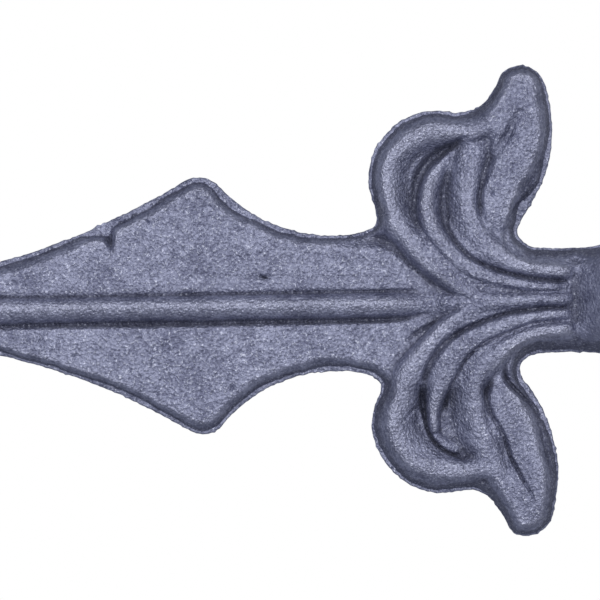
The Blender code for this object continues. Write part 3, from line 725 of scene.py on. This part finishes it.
def inside(points, corners):
    """Which points lie inside a closed line through the corners."""
    result = np.zeros(len(points), bool)
    for first in range(0, len(points), BATCH):
        x, y = points[first:first + BATCH, :1], points[first:first + BATCH, 1:]
        a, b = corners, np.roll(corners, -1, axis=0)
        crossing = (a[:, 1] > y) != (b[:, 1] > y)
        rise = np.where(b[:, 1] == a[:, 1], 1, b[:, 1] - a[:, 1])
        at = a[:, 0] + (y - a[:, 1]) * (b[:, 0] - a[:, 0]) / rise
        result[first:first + BATCH] = (crossing & (x < at)).sum(1) % 2 == 1
    return result


def along_flaws(flaws):
    """A narrow band of close points along every flaw, so that the mesh can hold it."""
    bands = []
    for rows in flaws:
        path = flow(rows, FLAW_STEP)
        bands += [path[:, :2] + share * path[:, 3:] * normals(path) for share in BAND]
    return np.vstack(bands)


def side_points(outline, leaf_step, plain_step, offsets, flaws):
    """All points inside one side of the drawing, as positive v."""
    closed = np.vstack([outline[:, :2], [(BAR_STARTS_ABOVE, 0), (BAR_ENDS_BELOW, 0)]])
    leaf_starts, leaf_ends = LEAF_SPAN
    fill = np.vstack([scatter(leaf_starts, leaf_ends, leaf_step),
                      scatter(leaf_ends, BAR_STARTS_ABOVE - CLEARANCE, plain_step),
                      scatter(BAR_ENDS_BELOW + CLEARANCE, leaf_starts, plain_step)])
    fill = fill[inside(fill, closed) | (fill[:, 1] == 0)]
    gap, _, at = nearest_on(fill, outline)
    fill = fill[gap > at[:, 2] + offsets[-1] + 0.5 * leaf_step]
    if flaws:
        bands = along_flaws(flaws)
        bands = bands[inside(bands, closed) & (nearest_on(bands, outline)[0] > BAND_CLEARANCE)]
        for rows in flaws:
            gap, _, at = nearest_on(fill, flow(rows, FLAW_STEP))
            fill = fill[gap > BAND[-1] * at[:, 3] + 0.1]
        fill = np.vstack([bands, fill])
    return np.vstack([rings(outline, offsets), fill])


print("points along the upper side's flaws:", len(along_flaws(UPPER_FLAWS)))

# %% [markdown]
# Now the outline is closed into one loop, across the two ends where the bars are drawn out later,
# and triangulated with all the points inside it. The lower side is worked out with its `v` turned to
# positive and set back afterwards; of the points on the middle line only one side's are kept.

# %% Triangulate a whole face
BAR_SHARES = np.array([0.0, 0.25, 0.5, 0.7, 0.84, 0.94])
across_bar = BAR_HALF * np.concatenate([BAR_SHARES[:0:-1], [0], -BAR_SHARES[1:]])
END_POINTS = len(across_bar)
loop = np.vstack([upper[:, :2], np.column_stack([np.full(END_POINTS, BAR_STARTS_ABOVE), across_bar]),
                  lower[::-1, :2], np.column_stack([np.full(END_POINTS, BAR_ENDS_BELOW), -across_bar])])


def face_mesh(leaf_step, plain_step, offsets, drawings):
    """Points (u, v), half thickness, edge thickness and triangles of one whole face."""
    inner = []
    for outline, sign, lowest in ((upper, 1, -1), (lower, -1, 0)):
        side = side_points(outline * np.array([1, sign, 1]), leaf_step, plain_step, offsets,
                           drawings[sign]["flaws"])
        inner.append(side[side[:, 1] > lowest] * np.array([1, sign]))
    flat = np.vstack([loop] + inner)
    edges = [(k, (k + 1) % len(loop)) for k in range(len(loop))]
    corners, _, faces, *_ = delaunay_2d_cdt([Vector(p) for p in flat], edges, [], 1, 1e-6)
    points = np.array([tuple(c) for c in corners])
    height, edge = np.empty(len(points)), np.empty(len(points))
    for outline, sign in ((upper, 1), (lower, -1)):
        rows = points[:, 1] >= 0 if sign == 1 else points[:, 1] < 0
        turned = points[rows] * np.array([1, sign])
        height[rows], edge[rows] = half_thickness(turned, outline * np.array([1, sign, 1]), **drawings[sign])
    return points, height, edge, np.array(faces)


print("points round the drawing:", len(loop))

# %% Build the front and the back
front = face_mesh(leaf_step=0.175, plain_step=0.28, offsets=(0.0, 0.12, 0.3, 0.5, 0.72, 0.95),
                  drawings={1: upper_drawing, -1: lower_drawing})
middle_rib = [(u, 0, crest, left, right) for u, v, crest, left, right in UPPER_RIDGES["centre rib"]]
plain_drawing = {"ridges": {**UPPER_RIDGES, "centre rib": middle_rib}, "lobe": UPPER_LOBE,
                 "cuts": UPPER_CUTS[:1], "flaws": [], "side": "upper"}
back = face_mesh(leaf_step=0.42, plain_step=0.7, offsets=(0.0, 0.35, 0.75),
                 drawings={1: plain_drawing, -1: plain_drawing})
for name, face in (("front", front), ("back", back)):
    print(name, "face:", len(face[0]), "points,", len(face[3]), "triangles, up to",
          round(2 * face[1].max(), 2), "mm thick")

# %% [markdown]
# ## What the surface remembers
#
# Hollows keep the dark oxide that the fire left, darkened further by painted shade, while crests are
# rubbed bright by every hand, glove and pallet they meet. To paint that, the material has to know
# which places are low and which are high compared with their surroundings. The height of the face is
# sampled on a coarse grid and blurred; the difference between the blurred and the true height is
# stored on the points, together with how strongly the grainy skin shows there.

# %% Blurred height of the front and back
GRID = 0.25
MARGIN = 4
BROAD, NARROW = 1.6, 0.5
RIM_LIFT = -0.05
LEAST_COVER = 0.05
RIM_TOLERANCE = 0.05


def blurred(values, radius):
    """The grid blurred along both of its directions, by a radius in millimetres."""
    cells = radius / GRID
    reach = np.arange(-math.ceil(3 * cells), math.ceil(3 * cells) + 1)
    kernel = np.exp(-0.5 * (reach / cells) ** 2)
    kernel /= kernel.sum()
    for axis in (0, 1):
        values = np.apply_along_axis(lambda line: np.convolve(line, kernel, mode="same"), axis, values)
    return values


def relief(points, height, edge):
    """How far each point stands above the steel around it, in millimetres."""
    low = points.min(0) - MARGIN
    cell = np.round((points - low) / GRID).astype(int)
    shape = cell.max(0) + round(MARGIN / GRID)
    total_height, hits = np.zeros(shape), np.zeros(shape)
    np.add.at(total_height, (cell[:, 0], cell[:, 1]), height)
    np.add.at(hits, (cell[:, 0], cell[:, 1]), 1)
    covered = (hits > 0).astype(float)
    mean = total_height / np.maximum(hits, 1)
    stands = 0
    for radius in (BROAD, NARROW):
        soft = blurred(mean, radius) / np.maximum(blurred(covered, radius), LEAST_COVER)
        stands = stands + height - soft[cell[:, 0], cell[:, 1]]
    return np.where(height < edge + RIM_TOLERANCE, RIM_LIFT, stands)


front_relief = relief(*front[:3])
back_relief = relief(*back[:3])
print("relief from", round(front_relief.min(), 2), "to", round(front_relief.max(), 2), "mm")

# %% [markdown]
# ## One closed body
#
# The two faces are set back to back, their outlines are joined by the trimmed edge, and the sections
# at the two ends are drawn out to the bar's full length. It is one piece of steel, so it becomes one
# closed mesh.

# %% Join the two faces by the trimmed edge
def corner_index(points, wanted):
    """Which vertex of a face each wanted outline point became."""
    return np.array([np.hypot(*(points - w).T).argmin() for w in wanted])


front_loop = corner_index(front[0], loop)
back_loop = corner_index(back[0], loop)
front_xyz = placed(front[0][:, 0], front[0][:, 1], -front[1])
back_xyz = placed(back[0][:, 0], back[0][:, 1], back[1])
vertices = [front_xyz, back_xyz]
back_offset = len(front_xyz)
polygons = [tuple(f) for f in front[3]] + [tuple(f[::-1] + back_offset) for f in back[3]]

# The trimmed edge, with one row of points on the parting line between the dies.
middle_offset = back_offset + len(back_xyz)
vertices.append(placed(loop[:, 0], loop[:, 1], 0.0))
count = len(loop)
top_starts, bottom_starts = len(upper), len(upper) + END_POINTS + len(lower)
across_end = np.zeros(count, bool)
across_end[top_starts - 1:top_starts + END_POINTS] = True
across_end[bottom_starts - 1:] = True
for k in np.flatnonzero(~across_end):
    after = (k + 1) % count
    a, b = front_loop[k], front_loop[after]
    c, d = middle_offset + k, middle_offset + after
    e, f = back_loop[k] + back_offset, back_loop[after] + back_offset
    polygons += [(b, a, c, d), (d, c, e, f)]
print("body so far:", sum(len(v) for v in vertices), "points")

# %% [markdown]
# The bars are rolled stock, straight and square with slightly rounded corners. Only a plain run of
# sections is needed for them, close enough together that the surface can be given its shallow
# unevenness later.

# %% Draw out the two bars
BAR_STEP = 0.006


def section_ring(first, last):
    """The closed ring of vertices round one end of the ornament, front side then back."""
    span = [k % count for k in range(first, last)]
    front_run = [front_loop[k] for k in span]
    back_run = [back_loop[k] + back_offset for k in span]
    return front_run + [middle_offset + span[-1]] + back_run[::-1] + [middle_offset + span[0]]


total = sum(len(v) for v in vertices)
all_xyz = np.vstack(vertices)
for first, stop in ((top_starts - 1, TOP), (bottom_starts - 1, 0.0)):
    ring = section_ring(first, first + END_POINTS + 2)
    z0 = all_xyz[ring[0], 2]
    stations = np.linspace(z0, stop, round(abs(stop - z0) / BAR_STEP) + 1)[1:]
    for z in stations:
        section = all_xyz[ring].copy()
        section[:, 2] = z
        vertices.append(section)
        new = list(range(total, total + len(ring)))
        previous = ring if z == stations[0] else old
        for k in range(len(ring)):
            after = (k + 1) % len(ring)
            polygons.append((previous[after], previous[k], new[k], new[after]))
        old = new
        total += len(ring)
    polygons.append(tuple(old))

body = bpy.data.meshes.new("baluster_body")
body.from_pydata(np.vstack(vertices).tolist(), [], polygons)
print("whole body:", len(body.vertices), "points,", len(body.polygons), "faces")

# %% [markdown]
# The relief goes onto the points as an attribute, and so does the strength of the skin: full on the
# ornament, where the dies' rough faces and the scale marked the steel, weaker on the rolled bars, and
# none on the two sawn ends, so that they stay flat and the length stays true.

# %% Store relief and skin on the points, and close the body
BAR_SKIN = 0.5
CLEAN_END = 0.004


def store(mesh, name, values):
    """A number for each point of a mesh, under a name that materials can read."""
    mesh.attributes.new(name, "FLOAT", "POINT").data.foreach_set("value", np.asarray(values, np.float32))


where = np.vstack(vertices)
lift = np.zeros(len(where))
lift[:len(front_relief)] = front_relief
lift[back_offset:middle_offset] = back_relief
along = (where[:, 2] - NECK_HEIGHT) / MM
skin = BAR_SKIN + (1 - BAR_SKIN) * ramp(along, -1, 4) * ramp(-along, -104, -88)
skin *= ramp(where[:, 2], 0, CLEAN_END) * ramp(-where[:, 2], -TOP, CLEAN_END - TOP)
store(body, "relief", lift)
store(body, "skin", skin)

bm = bmesh.new()
bm.from_mesh(body)
bmesh.ops.delete(bm, geom=[v for v in bm.verts if not v.link_faces])
bmesh.ops.recalc_face_normals(bm, faces=bm.faces)
print("open or odd edges:", sum(not e.is_manifold for e in bm.edges),
      "volume in cm3:", round(bm.calc_volume(signed=True) * 1e6, 1))
bm.to_mesh(body)
bm.free()
body.shade_smooth()

# %% [markdown]
# ## Shader maths as plain expressions
#
# The steel's finish is worked out from a handful of noises and the stored relief. Wiring that by hand
# takes a hundred lines, so one small class wraps a socket, and `a * b + 1` adds the Math nodes.

# %% A socket that can be calculated with
class Field:
    """A number or colour that varies over a surface."""

    def __init__(self, tree, socket):
        self.tree, self.socket = tree, socket

    def node(self, kind, settings=None, **sockets):
        """Any node: its settings first, then the values or links of its sockets; the first output."""
        made = self.tree.nodes.new(kind)
        for name, value in (settings or {}).items():
            setattr(made, name, value)
        for name, value in sockets.items():
            place = made.inputs[int(name[1:]) if name[1:].isdigit() else name.replace("_", " ")]
            if isinstance(value, Field):
                self.tree.links.new(value.socket, place)
            else:
                place.default_value = value
        return Field(self.tree, next(o for o in made.outputs if o.enabled))

    def output(self, name):
        """Another output of the same node, by its name."""
        return Field(self.tree, self.socket.node.outputs[name])

    def maths(self, operation, *values):
        """A Math node of that operation over these values."""
        return self.node("ShaderNodeMath", {"operation": operation},
                         **{f"_{k}": value for k, value in enumerate(values)})

    def __add__(self, other):
        return self.maths("ADD", self, other)

    def __sub__(self, other):
        return self.maths("SUBTRACT", self, other)

    def __rsub__(self, other):
        return self.maths("SUBTRACT", other, self)

    def __mul__(self, other):
        return self.maths("MULTIPLY", self, other)

    def __truediv__(self, other):
        return self.maths("DIVIDE", self, other)

    def __rtruediv__(self, other):
        return self.maths("DIVIDE", other, self)

    __radd__, __rmul__ = __add__, __mul__

    def step(self, low, high):
        """This number's place between low and high, mapped smoothly onto 0 to 1."""
        return self.node("ShaderNodeMapRange", {"interpolation_type": "SMOOTHSTEP"}, Value=self,
                         From_Min=low, From_Max=high, To_Min=0.0, To_Max=1.0)

    def mix(self, a, b):
        """Colour a where this number is 0, and b where it is 1."""
        return self.node("ShaderNodeMix", {"data_type": "RGBA"}, _0=self, _6=a, _7=b)


print("fields can be added, multiplied, stepped and mixed")

# %% [markdown]
# ## Forged steel, as it left the fire
#
# Bare forged steel is a blue-grey metal under a thin, uneven skin of scale. Close up it has three
# sizes of mark. Broad clouds, a few millimetres wide, show where scale flaked off. A grain about a
# third of a millimetre across is the sand-like face of the die; its bumps make the sparkle, and small
# painted glints add to it. The hollows are dark and dull, with oxide and painted shade, and the crests
# and edges are rubbed lighter and smoother.
#
# The colour could be painted, but a finish that follows from the relief is right from every side.

# %% Forged steel
CLOUD_SIZE, FLAKE_SIZE, GRAIN_SIZE, SPARKLE_SIZE, GRIT_SIZE = 5.0, 1.5, 0.34, 0.2, 0.34
DARK_SCALE = (0.15, 0.158, 0.235, 1)
LIGHT_SCALE = (0.38, 0.395, 0.52, 1)
# The dark colour of the hollows: their oxide together with painted shade.
OXIDE_AND_SHADE = (0.05, 0.053, 0.085, 1)
RUBBED = (0.5, 0.51, 0.6, 1)
# The colour of painted glints, lighter specks that stand in for highlights.
PAINTED_GLINT = (0.75, 0.77, 0.83, 1)


def forged_steel():
    """The skin of the whole baluster, from noise sizes in millimetres and the stored relief."""
    material = bpy.data.materials.new("forged_steel_skin")
    material.use_nodes = True
    tree = material.node_tree
    shader = tree.nodes["Principled BSDF"]
    start = Field(tree, None)
    place = start.node("ShaderNodeTexCoord").output("Object")

    def noise(size, detail, roughness, shift=0.0):
        moved = start.node("ShaderNodeVectorMath", {"operation": "ADD"}, _0=place, _1=(shift, shift, shift))
        return start.node("ShaderNodeTexNoise", {"noise_dimensions": "3D"}, Vector=moved,
                          Scale=1 / (size * MM), Detail=detail, Roughness=roughness)

    relief_here = start.node("ShaderNodeAttribute", {"attribute_name": "relief"}).output("Fac")
    skin_here = start.node("ShaderNodeAttribute", {"attribute_name": "skin"}).output("Fac")
    clouds = noise(CLOUD_SIZE, 3.0, 0.55)
    flakes = noise(FLAKE_SIZE, 3.0, 0.6, shift=0.31)
    grain = noise(GRAIN_SIZE, 2.0, 0.6, shift=0.57)
    sparkle = noise(SPARKLE_SIZE, 1.0, 0.5, shift=0.83)
    grit = start.node("ShaderNodeTexVoronoi", {"feature": "SMOOTH_F1"}, Vector=place,
                      Scale=1 / (GRIT_SIZE * MM), Smoothness=0.3)

    hollow = (relief_here * -1).step(0.0, 1.2)
    crest = relief_here.step(0.15, 1.1)
    light = clouds * 0.25 + flakes * 0.35 + grain * 0.4
    patchy = (light.step(0.36, 0.64) - 0.5) * skin_here + 0.5
    base = patchy.mix(DARK_SCALE, LIGHT_SCALE)
    # Oxide and painted shade: the hollows are mixed towards a dark blue-grey, as deep as the relief is low.
    base = (hollow * 0.6).mix(base, OXIDE_AND_SHADE)
    base = (crest * 0.3).mix(base, RUBBED)
    # Painted highlights: small specks of the grain are made lighter in the colour as glints, and smoother.
    bright = sparkle.step(0.54, 0.66) * grain.step(0.45, 0.6)
    base = (bright * 0.35).mix(base, PAINTED_GLINT)
    tree.links.new(base.socket, shader.inputs["Base Color"])

    rough = 0.55 - crest * 0.06 + hollow * 0.1 + (flakes - 0.5) * 0.2 - bright * 0.12
    tree.links.new(rough.socket, shader.inputs["Roughness"])
    metal = 0.88 - hollow * 0.15
    tree.links.new(metal.socket, shader.inputs["Metallic"])

    height = (flakes * 0.08 + grain * 0.12 + sparkle * 0.08 - grit * 0.1) * skin_here
    bump = start.node("ShaderNodeBump", Height=height * MM, Distance=1.0, Strength=1.0)
    tree.links.new(bump.socket, shader.inputs["Normal"])
    print(material.name, "has", len(tree.nodes), "nodes")
    return material


steel = forged_steel()

# %% [markdown]
# ## The skin as a rule over the whole surface
#
# Besides the fine grain there is unevenness that the light really catches: shallow dents of a
# millimetre or two and a coarse grain. That is true shape, so it is made as geometry. It follows a
# rule over the surface, which is what Geometry Nodes are for: every point moves along its normal by
# noise, as deep as the skin stored there says. The depths and sizes stay named inputs of the tree.

# %% A small helper for geometry trees
def geometry_tree(name, inputs):
    """An empty tree with a mesh in, a mesh out, and the given named inputs: (name, type, default)."""
    tree = bpy.data.node_groups.new(name, "GeometryNodeTree")
    tree.interface.new_socket("Geometry", in_out="INPUT", socket_type="NodeSocketGeometry")
    for label, kind, default in inputs:
        socket = tree.interface.new_socket(label, in_out="INPUT", socket_type=kind)
        if default is not None:
            socket.default_value = default
    tree.interface.new_socket("Geometry", in_out="OUTPUT", socket_type="NodeSocketGeometry")
    enter, leave = tree.nodes.new("NodeGroupInput"), tree.nodes.new("NodeGroupOutput")
    fields = {socket.name: Field(tree, socket) for socket in enter.outputs if socket.name}
    return tree, fields, leave


def apply_tree(source, tree, values):
    """The plain mesh that a tree makes of an object, with its inputs set by identifier."""
    modifier = source.modifiers.new(tree.name, "NODES")
    modifier.node_group = tree
    for item in tree.interface.items_tree:
        if item.in_out == "INPUT" and item.name in values:
            modifier[item.identifier] = values[item.name]
    evaluated = source.evaluated_get(bpy.context.evaluated_depsgraph_get())
    mesh = bpy.data.meshes.new_from_object(evaluated)
    source.modifiers.remove(modifier)
    return mesh


# %% Press the skin into the body
SHARP_ANGLE = 42


def skin_tree():
    """The tree that moves every point along its normal by dents and grain, as deep as the skin."""
    tree, given, leave = geometry_tree("forged_skin", [
        ("Material", "NodeSocketMaterial", None), ("Dent Size", "NodeSocketFloat", 2.6),
        ("Dent Depth", "NodeSocketFloat", 0.16), ("Grain Size", "NodeSocketFloat", 0.6),
        ("Grain Depth", "NodeSocketFloat", 0.11), ("Seed", "NodeSocketFloat", 3.0)])
    start = given["Geometry"]
    position = start.node("GeometryNodeInputPosition")
    skin_here = start.node("GeometryNodeInputNamedAttribute", {"data_type": "FLOAT"}, Name="skin")

    def unevenness(size, depth):
        """A noise of that size in millimetres, as an offset in metres."""
        scaled = start.node("ShaderNodeVectorMath", {"operation": "SCALE"}, _0=position, Scale=1 / MM / size)
        wave = start.node("ShaderNodeTexNoise", {"noise_dimensions": "4D"}, Vector=scaled, W=given["Seed"],
                          Scale=1.0, Detail=1.0)
        return (wave - 0.5) * depth * MM

    push = (unevenness(given["Dent Size"], given["Dent Depth"])
            + unevenness(given["Grain Size"], given["Grain Depth"])) * skin_here
    normal = start.node("GeometryNodeInputNormal")
    offset = start.node("ShaderNodeVectorMath", {"operation": "SCALE"}, _0=normal, Scale=push)
    moved = start.node("GeometryNodeSetPosition", Geometry=start, Offset=offset)
    realized = start.node("GeometryNodeRealizeInstances", Geometry=moved)
    dressed = start.node("GeometryNodeSetMaterial", Geometry=realized, Material=given["Material"])
    tree.links.new(dressed.socket, leave.inputs[0])
    return tree


blank = bpy.data.objects.new("blank", body)
bpy.context.scene.collection.objects.link(blank)
pressed = apply_tree(blank, skin_tree(), {"Material": steel})
bpy.data.objects.remove(blank)
pressed.set_sharp_from_angle(angle=math.radians(SHARP_ANGLE))
baluster = bpy.data.objects.new("baluster_forging", pressed)
bpy.context.scene.collection.objects.link(baluster)
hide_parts("baluster")
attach(baluster, "root")
print("baluster:", len(pressed.polygons), "faces, materials", [m.name for m in pressed.materials])

# %% [markdown]
# ## Stage, light and camera
#
# The photograph was taken straight down onto the ornament with a long lens, under one broad soft
# light from the picture's upper side; the steep walls are dark because nothing bright stands behind
# them. The baluster stands upright here, so the camera is rolled a quarter turn, and a little more
# for the tilt with which the piece lay in the picture.

# %% Camera
PICTURE = 600
PIXELS_PER_MM = 8.5
TILT = 0.0148
LENS = 200.0
SENSOR = 36.0
frame_width = PICTURE / PIXELS_PER_MM * MM
half_picture = PICTURE / 2 / PIXELS_PER_MM
centre_u, centre_v = half_picture * math.cos(TILT), half_picture * math.sin(TILT)
camera_data = bpy.data.cameras.new("camera")
camera_data.lens, camera_data.sensor_width = LENS, SENSOR
camera = bpy.data.objects.new("camera", camera_data)
bpy.context.scene.collection.objects.link(camera)
right = Vector((-math.sin(TILT), 0, -math.cos(TILT)))
up = Vector((math.cos(TILT), 0, -math.sin(TILT)))
aimed_at = Vector((centre_v * MM, 0, NECK_HEIGHT + centre_u * MM))
camera.location = aimed_at - Vector((0, 1, 0)) * frame_width * LENS / SENSOR
camera.rotation_euler = Matrix((right, up, right.cross(up))).transposed().to_euler()
bpy.context.scene.camera = camera
print("camera at", [round(x, 4) for x in camera.location], "sees", round(1000 * frame_width, 1), "mm")

# %% Floor
FLOOR_HALF = 2
floor_corners = [(x * FLOOR_HALF, y * FLOOR_HALF, 0) for x, y in ((-1, -1), (1, -1), (1, 1), (-1, 1))]
floor_mesh = bpy.data.meshes.new("floor")
floor_mesh.from_pydata(floor_corners, [], [(0, 1, 2, 3)])
floor = bpy.data.objects.new("floor", floor_mesh)
bpy.context.scene.collection.objects.link(floor)
pale = bpy.data.materials.new("pale_floor")
pale.use_nodes = True
pale.node_tree.nodes["Principled BSDF"].inputs["Base Color"].default_value = (0.8, 0.8, 0.8, 1)
pale.node_tree.nodes["Principled BSDF"].inputs["Roughness"].default_value = 0.9
floor_mesh.materials.append(pale)
print("floor:", 2 * FLOOR_HALF, "m wide, part of the stage")

# %% [markdown]
# The background is pure white to the camera, but a white world would light the steel from all round
# and leave no shade in the valleys. So the world shows white to the camera's own rays and a dim sky
# to all others, and two soft boxes do the rest: the key from the picture's upper side, and a weak
# one behind the baluster for the views from the back.

# %% World and lights
WORLD_DIM = (0.78, 0.83, 1.0, 1)
WORLD_STRENGTH = 0.37
MIDDLE = (0, 0, 0.45)
world = bpy.data.worlds.new("studio")
bpy.context.scene.world = world
world.use_nodes = True
tree = world.node_tree
tree.nodes.clear()
start = Field(tree, None)
seen_by_camera = start.node("ShaderNodeLightPath").output("Is Camera Ray")
dim = start.node("ShaderNodeBackground", Color=WORLD_DIM, Strength=WORLD_STRENGTH)
white = start.node("ShaderNodeBackground", Color=(1, 1, 1, 1), Strength=1.0)
either = start.node("ShaderNodeMixShader", _0=seen_by_camera, _1=dim, _2=white)
tree.links.new(either.socket, tree.nodes.new("ShaderNodeOutputWorld").inputs["Surface"])


def softbox(name, place, aim, width, height, power):
    """A rectangular soft light that the camera doesn't see."""
    data = bpy.data.lights.new(name, "AREA")
    data.shape, data.size, data.size_y, data.energy = "RECTANGLE", width, height, power
    light = bpy.data.objects.new(name, data)
    bpy.context.scene.collection.objects.link(light)
    light.location = place
    light.rotation_euler = (Vector(aim) - Vector(place)).to_track_quat("-Z", "Y").to_euler()
    light.visible_camera = False


softbox("key", place=(0.39, -1.27, 0.5), aim=MIDDLE, width=1.1, height=1.5, power=13.0)
softbox("back fill", place=(0.1, 1.5, 0.6), aim=MIDDLE, width=0.7, height=1.2, power=5)
bpy.context.scene.view_settings.view_transform = "Standard"
